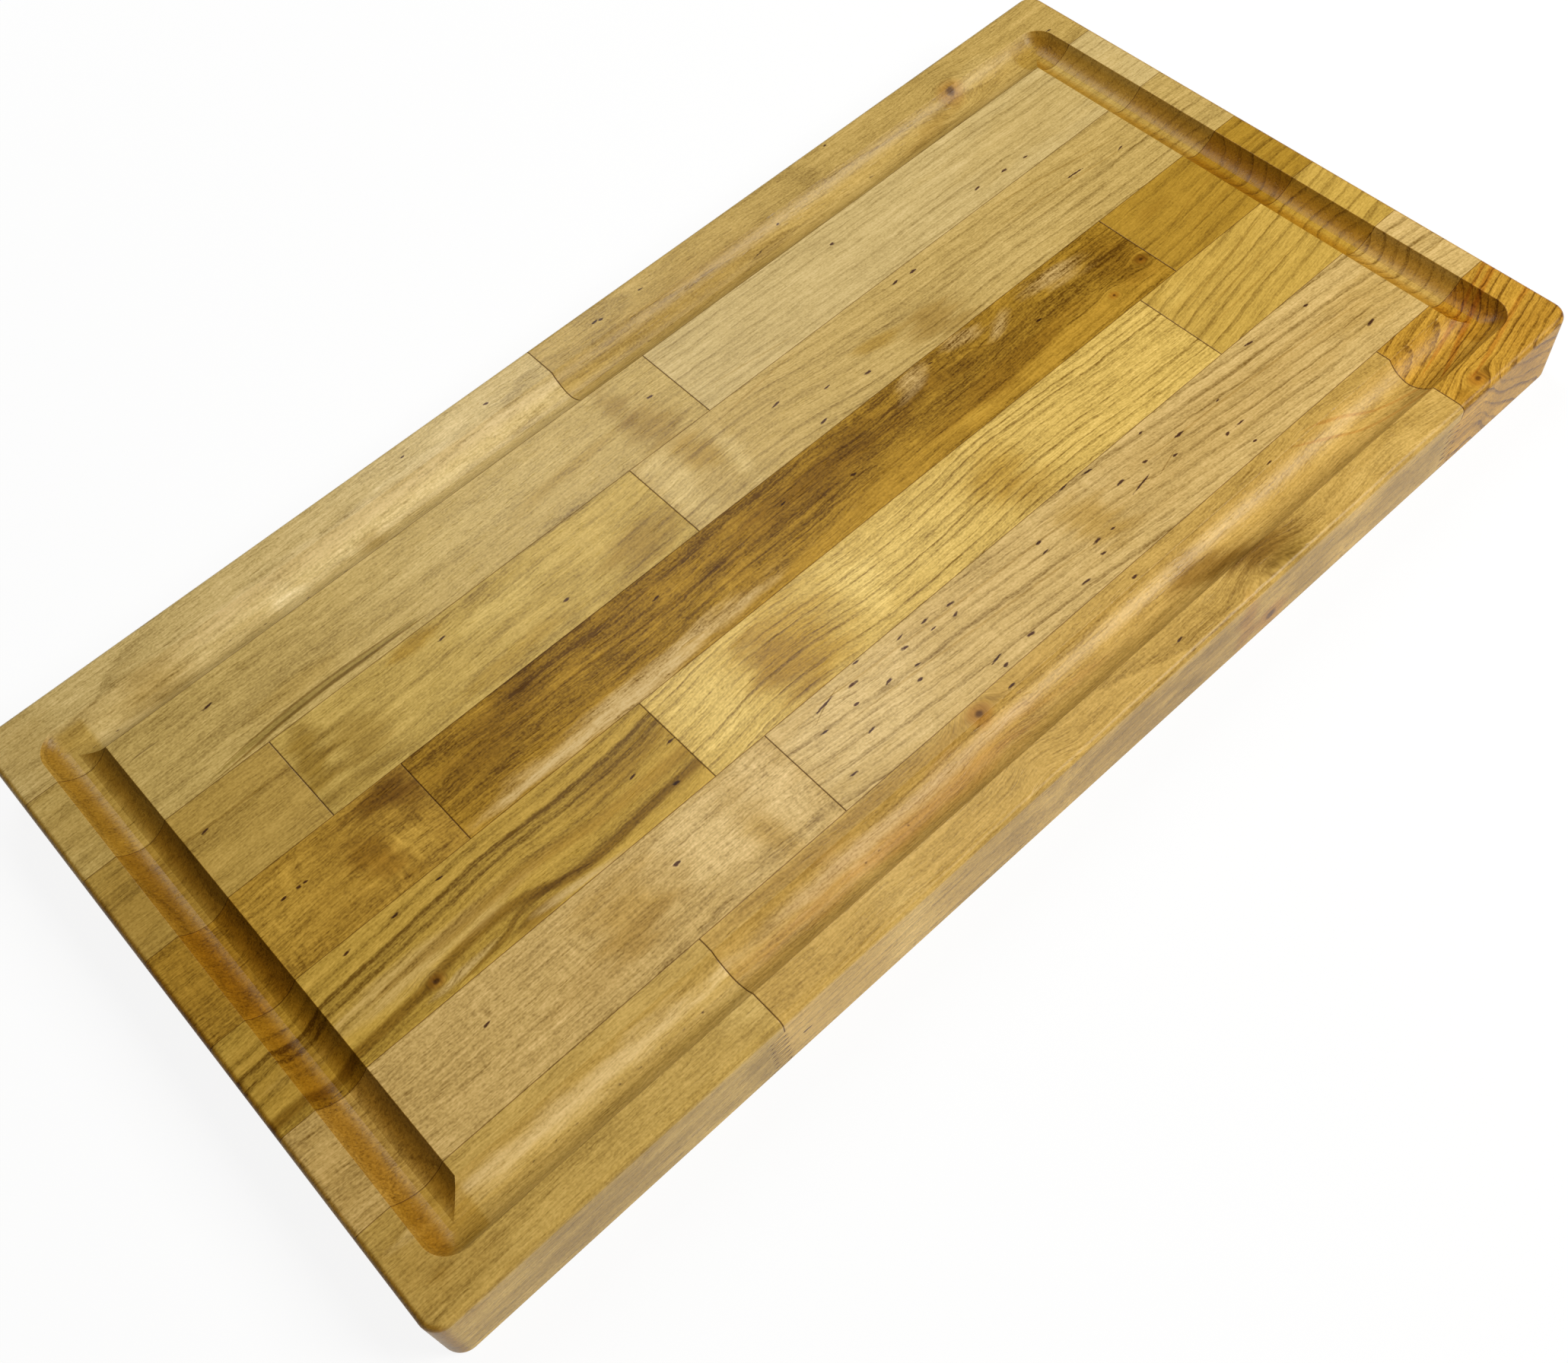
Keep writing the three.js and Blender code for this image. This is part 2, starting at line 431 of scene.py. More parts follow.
WOODS = {
    "back_edge_stave_1": Wood(
        "pale_birch", (196, 169, 105), (-6, -95), dive=0.06, spacing=6, wave=2.5, streaks=0.22,
        blots=(
            ("brown", 0.5, -238, 130, 34, 26, 0),
            ("cream", 0.5, -172, 128, 16, 22, 10),
            ("brown", 0.5, -130, 126, 14, 16, 0),
            # painted sheen and painted highlight along the groove's outer wall
            ("cream", 0.8, -115, 134, 210, 16, 0),
            ("pale", 0.5, -120, 137, 210, 9, 0),
            ("cream", 0.3, -80, 148, 120, 20, 0),
            # painted shade: the left end of every row is darkened alike
            ("brown", 0.35, -290, 137, 40, 60, 0),
        ),
        flecks=(
            (-270, 124.5, 2.5), (-259, 124, 2.5), (-202, 128, 3), (-187, 123.5, 2.5),
            (-167, 119.5, 2), (-148, 119, 2), (-96, 149, 2), (-52, 146, 2),
        ),
    ),
    "back_edge_stave_2": Wood(
        "golden_birch", (183, 152, 81), (10, -80), dive=-0.05, lean=-0.01, wave=3.5, mottle=0.28,
        blots=(
            ("brown", 0.35, 60, 130, 130, 30, 0),
            ("cream", 0.55, 245, 139, 34, 9, 8),
            ("brown", 0.5, 205, 128, 46, 12, 18),
            ("cream", 0.3, 15, 150, 60, 12, 0),
        ),
        flecks=(
            (12, 148, 3), (15, 147, 2), (39, 148, 2.5), (95, 129.5, 12), (25, 126, 3),
            (38, 126, 2.5), (112, 135, 2), (165, 127.5, 3), (160, 154, 2), (190, 118.5, 3),
            (203, 118.5, 4), (215, 118.5, 3), (290, 131, 3),
        ),
        knots=((228, 137, 38, 4.5),),
    ),
    "row_b_stave_1": Wood(
        "pale_birch", (189, 160, 90), (4, 110), lean=0.004, spacing=6.5, wave=2.2,
        blots=(
            ("brown", 0.75, -9, 82, 26, 34, 0),
            ("brown", 0.6, -14, 104, 14, 30, 0),
            ("gold", 0.5, -50, 90, 60, 8, 4),
            ("gold", 0.4, -190, 84, 60, 12, 0),
            # painted shade: the left end of every row is darkened alike
            ("brown", 0.35, -290, 95, 44, 60, 0),
            ("cream", 0.3, -90, 98, 120, 22, 3),
        ),
        strokes=(
            ("olive", 0.7, 3.6, (
                (-254, 71), (-225, 74.5), (-190, 76), (-158, 75.5), (-126, 74.5))),
            ("heart", 0.85, 1.3, (
                (-256, 70.4), (-225, 72.6), (-190, 75), (-158, 74.4), (-122, 73.6))),
            ("heart", 0.75, 1.0, ((-252, 71.5), (-220, 76.5), (-190, 78), (-158, 77), (-128, 75))),
            ("ink", 0.5, 0.6, ((-265, 103), (-257, 103.5), (-248, 103))),
        ),
        flecks=((-227, 102.5, 4), (1, 95.5, 3)),
    ),
    "row_b_stave_2": Wood(
        "cream_birch", (199, 173, 112), (-88, -50), lean=-0.022, dive=0.0, spacing=4.6, rings=0.15,
        wave=1.8, streaks=0.2, mottle=0.16, figure=0.7,
        blots=(("gold", 0.3, 240, 92, 120, 40, 0),),
        strokes=(("brown", 0.45, 0.8, ((14, 82.5), (45, 78.5), (80, 74))),),
        flecks=((188, 80, 3), (205, 79, 3), (218, 78, 2.5), (245, 66.5, 3), (118, 104, 2)),
    ),
    "row_c_stave_1": Wood(
        "tan_birch", (175, 142, 66), (-14, 85), lean=0.01, spacing=7, streaks=0.3,
        strokes=(("brown", 0.4, 1.0, ((-300, 57), (-262, 56), (-224, 55))),),
        # painted shade: the left end of every row is darkened alike
        blots=(("brown", 0.4, -290, 48, 44, 60, 0),),
        flecks=((-258, 55, 3),),
    ),
    "row_c_stave_2": Wood(
        "tan_birch", (189, 158, 79), (60, -40), lean=0.03, dive=0.0, mottle=0.46, wave=4.5,
        streaks=0.3, gloss=0.12,
        blots=(
            ("smoke", 0.85, -211, 52, 18, 48, -14),
            ("smoke", 0.6, -190, 46, 30, 30, 0),
            ("smoke", 0.5, -205, 31, 40, 12, 0),
            ("gold", 1.0, -151, 66, 26, 10, 4),
            ("brown", 0.7, -52, 36, 52, 22, 16),
            ("gold", 0.6, -120, 32, 70, 10, 0),
            ("cream", 0.4, -110, 56, 60, 14, 6),
        ),
        flecks=((-140, 60, 3), (-92, 38, 3)),
    ),
    "row_c_stave_3": Wood(
        "pale_birch", (189, 159, 90), (-92, -40), lean=-0.03, dive=0.0, rings=0.17, wave=3,
        streaks=0.2, figure=0.9, bends=((20, 5, 50),),
        blots=(
            ("cream", 0.7, -22, 48, 18, 46, 0),
            ("gold", 0.8, -4, 56, 16, 30, 10),
            ("cream", 0.7, 6, 44, 10, 36, -8),
            ("gold", 1.0, 92, 46, 26, 9, -10),
            ("brown", 0.75, 117, 36, 34, 22, -20),
            ("cream", 0.25, 170, 42, 80, 26, 0),
        ),
        strokes=(
            ("brown", 0.5, 0.9, ((5, 62), (38, 66), (70, 69))),
            ("brown", 0.5, 0.9, ((165, 57), (215, 52), (268, 47))),
            ("brown", 0.5, 0.9, ((170, 69), (220, 61.5), (268, 53.5))),
        ),
        flecks=(
            (121, 65.5, 3), (131, 64.5, 3), (225, 53.5, 9), (252, 49.5, 3), (273, 43, 3),
            (36, 52, 4), (58, 43, 3), (76, 36, 3), (44, 30, 4),
        ),
    ),
    "row_d_stave_1": Wood(
        "umber_birch", (167, 128, 44), (6, 60), lean=0.02, streaks=0.35, mottle=0.4, silk=0.9,
        figure=1.3, gloss=0.1,
        blots=(
            ("brown", 0.8, -216, -2, 16, 36, 25),
            ("cream", 0.6, -202, -8, 16, 26, 35),
            ("heart", 0.9, -200, 18, 38, 13, 0),
            ("heart", 0.7, -192, 10, 18, 16, 0),
            ("cream", 0.4, -255, 6, 44, 36, 0),
            # painted shade: the left end of every row is darkened alike
            ("brown", 0.35, -290, 2, 44, 60, 0),
        ),
        flecks=((-252, 9, 2.5), (-245, 9, 2), (-242, 9, 2)),
    ),
    "row_d_stave_2": Wood(
        "brown_birch", (157, 118, 34), (60, -40), lean=0.015, dive=0.0, spacing=4.5, rings=0.2,
        wave=6, streaks=0.5, mottle=0.7, silk=0.4, figure=1.5, gloss=0.06,
        layers=(
            (-24, 0.1), (-19, 0.22), (-14, 0.16), (-11, -0.02), (-8, 0.1), (-5, -0.12), (-2, 0.04),
            (1, -0.14), (4, 0.02), (8, -0.12), (12, 0.02), (16, -0.1), (20, -0.06), (24, -0.2),
        ),
        blots=(
            ("pale", 0.75, -105, -16, 150, 11, 1),
            ("cream", 0.5, -60, -8, 40, 20, 20),
            ("heart", 0.5, -150, 10, 70, 24, 22),
            ("heart", 0.45, 30, 12, 90, 16, 4),
            ("heart", 0.5, 100, 10, 60, 14, -8),
            ("brown", 0.6, 120, -6, 90, 14, 5),
            ("pale", 0.6, 85, 19, 24, 9, 20),
            ("pale", 0.6, 116, 21, 22, 8, -14),
            ("pale", 0.6, 133, 13, 20, 7, 25),
            ("pale", 0.7, 172, 16, 34, 10, -10),
            ("brown", 0.55, 197, 0, 28, 44, 0),
            ("cream", 0.4, 90, -14.5, 30, 4, 2),
            ("brown", 0.45, 20, 8, 110, 18, 3),
        ),
        strokes=(
            ("heart", 0.6, 0.9, ((-180, 3), (-120, 7), (-60, 5), (0, 8), (60, 6))),
            ("heart", 0.5, 0.8, ((-170, 14), (-110, 15), (-50, 18), (20, 15), (80, 11))),
            ("heart", 0.45, 0.8, ((-150, -2), (-90, -5), (-20, -3), (50, -8), (110, -6))),
            ("heart", 0.5, 0.9, ((84, 9), (108, 15), (130, 7), (158, 9), (188, 4))),
        ),
        flecks=((2, 10, 2.5), (33, 0, 2.5), (98, 20, 2.5), (-66, 12, 3), (148, 3, 3)),
        knots=((205, -5, 38, 2.2), (181, -11, 38, 1.6)),
    ),
    "row_d_stave_3": Wood(
        "amber_birch", (167, 128, 39), (60, -50), lean=0.10, dive=0.05, rings=0.22, streaks=0.3,
        figure=0.8,
        blots=(("brown", 0.35, 230, 12, 20, 8, 0),),
        strokes=(
            ("brown", 0.35, 1.0, ((212, -18), (235, -10), (262, -5), (300, -3))),
            ("brown", 0.35, 1.0, ((212, -10), (238, 1), (265, 6), (300, 7))),
        ),
    ),
    "row_e_stave_1": Wood(
        "olive_birch", (173, 138, 54), (70, -40), dive=0.0, spacing=4.5, rings=0.05, wave=1.2,
        streaks=0.2, figure=1.2, gloss=0.1,
        course=((-305, -42), (-265, -39), (-210, -35), (-180, -33), (-150, -34), (-102, -30)),
        layers=(
            (-28, 0.0), (-25, -0.1), (-21, 0.05), (-17, 0.2), (-13, 0.12), (-10, -0.04), (-8, 0.12),
            (-6, -0.06), (-4.4, 0.08), (-3.4, -0.22), (-2.2, -0.36), (-0.8, -0.12), (0.8, -0.2),
            (2.6, -0.42), (3.6, -0.12), (4.6, 0.18), (7, 0.16), (9, -0.12), (11, 0.16), (15, 0.1),
        ),
        strokes=(
            ("heart", 0.8, 4, (
                (-306, -62), (-240, -59), (-200, -54), (-180, -57), (-160, -61), (-130, -59),
                (-100, -57.5))),
            ("heart", 0.7, 2.2, (
                (-232, -66), (-200, -62), (-188, -58), (-175, -58.5), (-160, -61.5), (-150, -65))),
            ("brown", 0.6, 5, ((-270, -50), (-220, -47), (-180, -46), (-140, -50), (-96, -50))),
        ),
        blots=(
            ("heart", 0.7, -188, -64, 24, 6, 0),
            ("pale", 0.7, -216, -62.5, 34, 4, 4),
            ("pale", 0.6, -165, -65.5, 40, 3.5, -6),
            # painted highlight
            ("pale", 0.35, -230, -48, 110, 12, 1),
            ("brown", 0.55, -125, -38, 54, 14, 4),
            # painted shade: the left end of every row is darkened alike
            ("brown", 0.4, -290, -45, 44, 60, 0),
        ),
        flecks=(
            (-247, -26, 3), (-225, -26.5, 3), (-204, -26, 3), (-125, -44.5, 3), (-115, -58.5, 3),
            (-105, -43, 3), (-280, -65, 5),
        ),
        knots=((-229.5, -58.5, 38, 2.2),),
    ),
    "row_e_stave_2": Wood(
        "yellow_birch", (207, 173, 87), (-85, -45), dive=0.0, spacing=3.4, rings=0.30, wave=2.4,
        streaks=0.2, figure=1.1, bends=((-50, 6, 42), (90, 4, 50)),
        blots=(
            ("brown", 0.55, -52, -50, 28, 44, 0),
            ("gold", 1.0, -40, -46, 52, 52, 0),
            ("brown", 0.45, 82, -58, 30, 26, -30),
            ("gold", 0.9, 74, -44, 34, 30, -30),
            ("cream", 0.5, -82, -45, 30, 44, 0),
            ("cream", 0.5, -4, -40, 22, 44, 0),
            ("cream", 0.3, 20, -44, 60, 34, 0),
        ),
    ),
    "row_e_stave_3": Wood(
        "amber_birch", (192, 156, 69), (-90, -50), lean=0.17, dive=0.0, spacing=6, rings=0.24,
        streaks=0.24, figure=0.8,
        blots=(("cream", 0.5, 198, -30, 18, 12, 10),),
        strokes=(
            ("brown", 0.45, 0.9, ((188, -40), (228, -33), (268, -25))),
            ("brown", 0.45, 0.9, ((188, -47), (228, -43), (268, -38))),
            ("brown", 0.4, 0.9, ((188, -54), (228, -51), (268, -48))),
        ),
    ),
    "row_f_stave_1": Wood(
        "pale_birch", (195, 162, 95), (5, 90), lean=-0.008, streaks=0.22, mottle=0.18, silk=0.4,
        figure=1.15,
        blots=(
            ("cream", 0.8, -122, -86, 34, 44, 12),
            ("cream", 0.7, -90, -88, 22, 48, 0),
            ("gold", 0.7, -162, -86, 36, 34, 10),
            ("gold", 0.6, -104, -100, 14, 30, 10),
            # painted shade: the left end of every row is darkened alike
            ("brown", 0.35, -290, -90, 44, 60, 0),
            ("brown", 0.25, -180, -98, 70, 20, 0),
        ),
        flecks=((-226, -84.5, 3), (-137, -84.5, 3)),
    ),
    "row_f_stave_2": Wood(
        "cream_birch", (201, 169, 103), (95, -45), lean=-0.085, dive=0.0, spacing=5.0, rings=0.24,
        wave=2.6, streaks=0.2, mottle=0.2, figure=0.9,
        blots=(
            ("cream", 0.6, -42, -88, 80, 44, 0),
            ("gold", 0.7, 84, -88, 24, 40, 12),
            ("brown", 0.28, 160, -92, 190, 36, 0),
            ("gold", 0.3, 250, -92, 70, 30, 0),
        ),
        strokes=(
            ("brown", 0.5, 0.9, ((-77, -69), (0, -76), (60, -79), (110, -82.5))),
            ("brown", 0.5, 0.9, ((-77, -84), (10, -90), (100, -98))),
            ("brown", 0.5, 0.9, ((100, -82), (200, -86), (268, -94))),
            ("heart", 0.5, 0.7, ((288, -92.5), (296, -93.5), (304, -93))),
            ("heart", 0.6, 0.5, ((106, -85), (121, -92))),
            ("heart", 0.6, 0.5, ((118, -92), (136, -86.5))),
            ("heart", 0.6, 0.5, ((-64, -80), (-52, -74), (-38, -70))),
            ("heart", 0.5, 0.5, ((-50, -74), (-38, -79))),
        ),
        flecks=(
            (-52, -73.5, 9), (-38, -74.5, 4), (-30, -68, 3), (-10, -72, 3), (-12, -77, 3),
            (2, -73.5, 3), (2, -78.5, 3), (15, -75, 3), (13, -80, 3), (-60, -82.5, 3),
            (-43, -82, 3), (-27, -83.5, 3), (-14, -86, 3), (-47, -94.5, 3), (-18, -91.5, 3),
            (-65, -103.5, 3), (9.5, -106, 7), (27, -107.5, 3), (61, -79.5, 3), (60, -84.5, 3),
            (75, -101.5, 3), (78, -95.5, 3), (87, -96, 3), (60, -106, 3), (10, -110.5, 3),
            (101, -69, 3), (131, -71, 3), (106, -82.5, 3), (121, -82.5, 3), (112, -89, 8),
            (132, -89, 3), (141, -83, 3), (166, -82.5, 3), (199, -71.5, 3), (155, -97, 3),
            (163, -97, 3), (160, -107.5, 3), (243, -101, 3), (232, -75, 3), (88, -67.5, 3),
        ),
    ),
    "front_edge_stave_1": Wood(
        "pale_birch", (187, 153, 77), (0, 95), lean=0.004, streaks=0.26,
        blots=(
            # painted shade: the left end of every row is darkened alike
            ("brown", 0.35, -290, -135, 44, 60, 0),
            ("brown", 0.5, -290, -143, 12, 8, 0),
            # painted highlight and painted sheen along the groove's inner wall
            ("pale", 0.6, -215, -126, 130, 9, 0),
            ("cream", 0.6, -210, -127, 130, 10, 0),
            ("cream", 0.5, -150, -140, 30, 30, 0),
            # painted shade on the front side
            ("shade", 0.8, -235, -159, 150, 5, 0),
            ("shade", 0.7, -160, -159, 24, 5, 0),
        ),
        flecks=(
            (-244, -132.5, 1.6), (-234, -132.4, 1.6), (-225, -132.6, 2), (-214, -132.5, 1.6),
            (-205, -132.3, 1.6), (-196, -132.6, 2), (-186, -132.5, 1.6), (-176, -132.4, 2),
            (-167, -132.6, 1.6), (-158, -132.5, 1.6),
        ),
    ),
    "front_edge_stave_2": Wood(
        "copper_birch", (190, 153, 76), (-4, -74), lean=-0.01, mottle=0.34, streaks=0.36, wave=5,
        bends=((-13, 5, 14), (190, 6, 40)),
        blots=(
            ("rust", 0.5, -60, -130, 160, 16, 0),
            ("brown", 0.5, -60, -117.5, 190, 7, 0),
            # painted sheen and painted highlight along the groove's inner wall
            ("cream", 0.5, 60, -124, 210, 7, 0),
            ("pale", 0.75, -80, -126, 160, 8, 0),
            ("cream", 0.8, -87, -158, 30, 20, 0),
            ("cream", 0.4, -88, -140, 26, 30, 0),
            # painted shade on the front side
            ("shade", 0.6, -40, -159, 60, 5, 0),
            ("shade", 0.8, 30, -159, 90, 5, 0),
            ("shade", 0.7, 85, -159, 60, 5, 0),
            ("shade", 0.75, 140, -159, 36, 6, 0),
            ("shade", 0.8, 200, -159, 80, 5, 0),
            ("cream", 0.4, 190, -126, 50, 10, 14),
            ("heart", 0.8, 104, -134, 48, 18, -24),
            ("heart", 0.75, 122, -145, 48, 14, -12),
            ("olive", 0.6, 131, -153, 28, 10, 0),
            ("cream", 0.35, 190, -151, 80, 10, 0),
            ("rust", 0.5, 99, -158, 12, 14, 0),
        ),
        strokes=(
            ("rust", 0.5, 1.1, ((160, -118), (185, -126), (205, -135), (230, -141))),
            ("rust", 0.5, 1.1, ((170, -117), (195, -123), (214, -131), (231, -136))),
        ),
        flecks=(
            (-85, -131, 2), (-78, -131, 2), (-63, -131, 2), (65, -150, 3), (75, -118, 3),
            (5, -118.5, 3), (155, -119, 3), (-141, -158, 4),
        ),
        knots=((-13, -118.5, 38, 3.5), (115, -158, 10, 6)),
    ),
    "front_edge_stave_3": Wood(
        "golden_birch", (187, 140, 47), (70, -40), lean=0.24, dive=0.0, spacing=3.2, rings=0.4,
        streaks=0.4, figure=1.2,
        blots=(
            ("brown", 0.6, 236, -153, 10, 9, 0),
            ("brown", 0.4, 290, -150, 40, 14, 10),
            # painted shade on the front side
            ("shade", 0.7, 270, -159, 90, 5, 0),
        ),
        strokes=(
            ("rust", 0.75, 2.4, ((232, -143), (250, -137), (275, -128), (305, -118))),
            ("rust", 0.6, 1.6, ((232, -134), (252, -129), (278, -122), (305, -114))),
            ("rust", 0.6, 2.0, ((240, -151), (262, -147), (284, -141), (305, -136))),
        ),
        knots=((248, -152, 38, 3.0),),
    ),
}


def figure_noise(net, x, flow, z, size, detail, roughness=0.5):
    """Noise whose lumps have a size along the grain and another across it."""
    along, across = size
    return net.noise(net.vector(x / along, flow / across, z / across), detail, roughness)


def fading(net, square):
    """1 where square is 0, falling away like a bell."""
    return net.math("EXPONENT", square * -1.0)


def grain_place(net, place, wood, middle):
    """Board coordinates straightened along the grain, so that X runs with the fibres."""
    x, y, z = net.axes(place)
    drift = figure_noise(net, x, y, z, DRIFT_SIZE, 1)
    ripple = figure_noise(net, x, y, z, RIPPLE_SIZE, 1)
    flow = y - (x - middle.x) * wood.lean - drift * (2 * wood.wave) - ripple * 1.1
    if wood.course:
        flow = flow - (net.course(x, wood.course) - middle.y)
    for bend_x, swing, reach in wood.bends:
        bump = fading(net, net.math("POWER", abs((x - bend_x) / reach), 2.0))
        flow = flow - bump * swing
    for knot_x, knot_y, _, size in wood.knots:
        across = (y - knot_y) / (2.2 * size)
        along = (x - knot_x) / (3.2 * size)
        nearness = fading(net, along * along + across * across)
        flow = flow - nearness * across * (2.6 * size)
    return x, flow, z


def growth_rings(net, x, flow, z, wood, middle):
    """(0 to 1 darkness of the latewood lines, slow change of tone from ring to ring)"""
    dy = flow - (middle.y + wood.pith[0])
    dz = z - (x - middle.x) * wood.dive - (middle.z + wood.pith[1])
    wobble = figure_noise(net, x, flow, z, RING_WOBBLE_SIZE, 2)
    radius = net.math("SQRT", dy * dy + dz * dz) + wobble * RING_WOBBLE
    phase = radius / wood.spacing
    uneven = net.noise(net.vector(phase * 0.8, wood.pith[0], 3.7), 1)
    warped = phase + uneven * RING_UNEVENNESS
    part = net.math("FRACT", warped)
    rise_from, rise_to, fall_from, fall_to = LATEWOOD
    line = net.step(part, rise_from, rise_to) * net.step(part, fall_to, fall_from)
    ring = net.math("FLOOR", warped)
    vary = net.noise(net.vector(ring * 0.71, x / 130, 1.3), 1)
    return line * (vary * RING_STRENGTH_VARIES + RING_STRENGTH), uneven


def fleck_mask(net, place, flecks):
    """1 inside short, ragged, dark dashes that lie along the grain, just under the surface."""
    nearest = None
    for i, (x, y, length) in enumerate(flecks):
        # The sines vary the flecks' sizes and turns, in the same way each run
        long = length * (0.6 + 0.2 * math.sin(3.1 * i))
        narrow = 0.55 + 0.15 * math.sin(1.9 * i)
        on_top = abs(y) < HALF_WIDTH
        inputs = {
            "Vector": place,
            "Location": (x, y, THICKNESS if on_top else SIDE_FLECK_Z),
            "Rotation": (0, 0, math.radians(10 * math.sin(2.4 * i + 1)) if on_top else 0),
            "Scale": (long, narrow, FLECK_DEPTH) if on_top else (long, FLECK_DEPTH, narrow),
        }
        distance = net.length(net.node("Mapping", inputs, vector_type="TEXTURE"))
        nearest = distance if nearest is None else net.math("MINIMUM", nearest, distance)
    x, y, z = net.axes(place)
    ragged = net.noise(net.vector(x / 1.6, y / 0.8, z / 0.8), 1)
    return net.step(nearest + ragged * 1.3, 1.3, 0.6)


def blot_mask(net, place, edge, x, y, length, width, turn):
    """1 in the middle of a soft, ragged patch, on the top or on the front side of the board."""
    inputs = {
        "Vector": place,
        "Location": (x, y, THICKNESS if abs(y) < HALF_WIDTH else THICKNESS / 2),
        "Rotation": (0, 0, math.radians(turn)),
        "Scale": (length / 2, width / 2, STAIN_DEPTH),
    }
    distance = net.length(net.node("Mapping", inputs, vector_type="TEXTURE"))
    return net.step(distance + edge * 2.0, 1.35, 0.3)


def stroke_mask(net, x, y, ragged, box, width, points):
    """1 along a line through the wood, which tapers unless it runs off the end of the stave."""
    gap = abs(y - net.course(x, points) + ragged)
    first, last = points[0][0], points[-1][0]
    taper = (last - first) * 0.4
    start = net.step(x, first, first + taper) if first > box[0].x + 2 else 1.0
    end = net.step(x, last, last - taper) if last < box[1].x - 8 else 1.0
    wide = net.math("MULTIPLY", start, end) * width
    return net.step(gap / (wide + 0.05), 0.85, 0.25) * net.step(wide, 0.0, 0.3 * width)


def knot_masks(net, place, edge, x, y, z, size):
    """(1 in the dark heart of a small knot, 1 in the stain around it)"""
    on_top = z > THICKNESS - 1
    inputs = {
        "Vector": place,
        "Location": (x, y, z),
        "Scale": (size, size * 0.8, size * 2) if on_top else (size, size * 2, size * 0.8),
    }
    distance = net.length(net.node("Mapping", inputs, vector_type="TEXTURE")) + edge * 0.8
    return net.step(distance, 0.75, 0.2), net.step(distance, 2.3, 0.7)


def glue_lines(net, place, box):
    """1 along the stave's own glue lines: its seams with other rows, and its finger joints."""
    low, high = box
    x, y, z = net.axes(place)
    half_width = net.noise(net.vector(x / 22, y / 22, z / 9), 2) * GLUE_LINE_VARIES + GLUE_LINE
    lines = []
    for edge in (low.y, high.y):
        if abs(edge) < HALF_WIDTH - 1:
            lines.append(net.step(abs(y - edge), half_width, GLUE_LINE_CORE))
    drop = net.math("PINGPONG", FINGER_TOP_Z - z + FINGER_TIP / 2, FINGER_PITCH / 2)
    reach = net.math("MULTIPLY", drop - FINGER_TIP / 2, 1 / FINGER_FLANK, clamp=True)
    jointed = net.step(z, FINGER_TOP_Z, FINGER_TOP_Z - 0.1)
    for joint in (low.x + FINGER_LENGTH, high.x):
        if abs(joint) < HALF_LENGTH - FINGER_LENGTH - 1:
            gap = abs(x - joint + reach * jointed * FINGER_LENGTH) * (1 - jointed * 0.78)
            lines.append(net.step(gap, half_width * 1.2, 0.06))
    mask = lines[0]
    for line in lines[1:]:
        mask = net.math("MAXIMUM", mask, line)
    return mask


def wood_palette(colour):
    """From the wood's darkest figure, through its own colour, to its palest."""
    base = linear(*colour)
    dark = tuple(part * factor for part, factor in zip(base, DARKEST))
    pale = tuple(part * factor for part, factor in zip(base, PALEST))
    return [dark, base, pale]


def wood_tone(net, x, flow, z, wood, middle):
    """(0 dark to 1 pale, fine relief of the planed and oiled surface)"""
    line, uneven = growth_rings(net, x, flow, z, wood, middle)
    streaks = figure_noise(net, x, flow, z, STREAK_SIZE, 3)
    mottle = figure_noise(net, x, flow, z, MOTTLE_SIZE, 3)
    shining = net.step(mottle, *SILK_WHERE)
    silk = figure_noise(net, x, flow, z, SILK_SIZE, 2) * shining
    fine = figure_noise(net, x, flow, z, FINE_SIZE, 2)
    fibre = figure_noise(net, x, flow, z, FIBRE_SIZE, 3, 0.65)
    grit = figure_noise(net, x, flow, z, GRIT_SIZE, 1)
    pores = net.step(figure_noise(net, x, flow, z, PORE_SIZE, 1), *PORE_WHERE)
    tone = 0.5 - line * (RING_LINES * wood.rings) + uneven * RING_DRIFT
    tone = tone + streaks * (STREAKS * wood.streaks) + mottle * (MOTTLE * wood.mottle)
    tone = tone + silk * (SILK * wood.silk) + (fine * FINE + fibre * FIBRE) * wood.figure
    tone = tone + (grit * GRIT - pores * PORES) * wood.figure
    if wood.layers:
        tone = tone + net.course(flow - middle.y, wood.layers)
    return tone, fibre + fine * 0.5 - pores * 0.9 - line * 0.3


def wood_colour(net, place, tone, x, flow, wood, box):
    """The stave's colour, with its own stains, streaks, flecks and knots worked in, and its patches
    of painted sheen, highlight and shade.
    """
    colour = net.ramp(tone, wood_palette(wood.colour))
    _, y, z = net.axes(place)
    edge = net.noise(net.vector(x / 26, flow / 5, z / 8), 3)
    ragged = edge * 1.4
    # Blots multiply in stains and painted light: the whitening tint is painted sheen, and the
    # greyish shade tint on the front side and the brown at each row's left end are painted shade.
    # Pale blots mix in pale sapwood, and painted highlights on the groove's flanks.
    for tint, amount, *shape in wood.blots:
        mask = blot_mask(net, place, edge, *shape) * amount
        if tint == "pale":
            colour = net.tint(colour, PALE_WOOD_AND_HIGHLIGHT, mask * (tone * 1.4), "MIX")
        else:
            colour = net.tint(colour, TINTS[tint], mask)
    for tint, amount, width, points in wood.strokes:
        mask = stroke_mask(net, x, y, ragged * min(1.0, width / 2), box, width, points)
        colour = net.tint(colour, TINTS[tint], mask * amount)
    for knot in wood.knots:
        heart, stain = knot_masks(net, place, edge, *knot)
        colour = net.tint(colour, TINTS["rust"], stain * 0.6)
        colour = net.tint(colour, TINTS["ink"], heart * 0.85)
    if wood.flecks:
        colour = net.tint(colour, TINTS["plum"], fleck_mask(net, place, wood.flecks))
    return colour


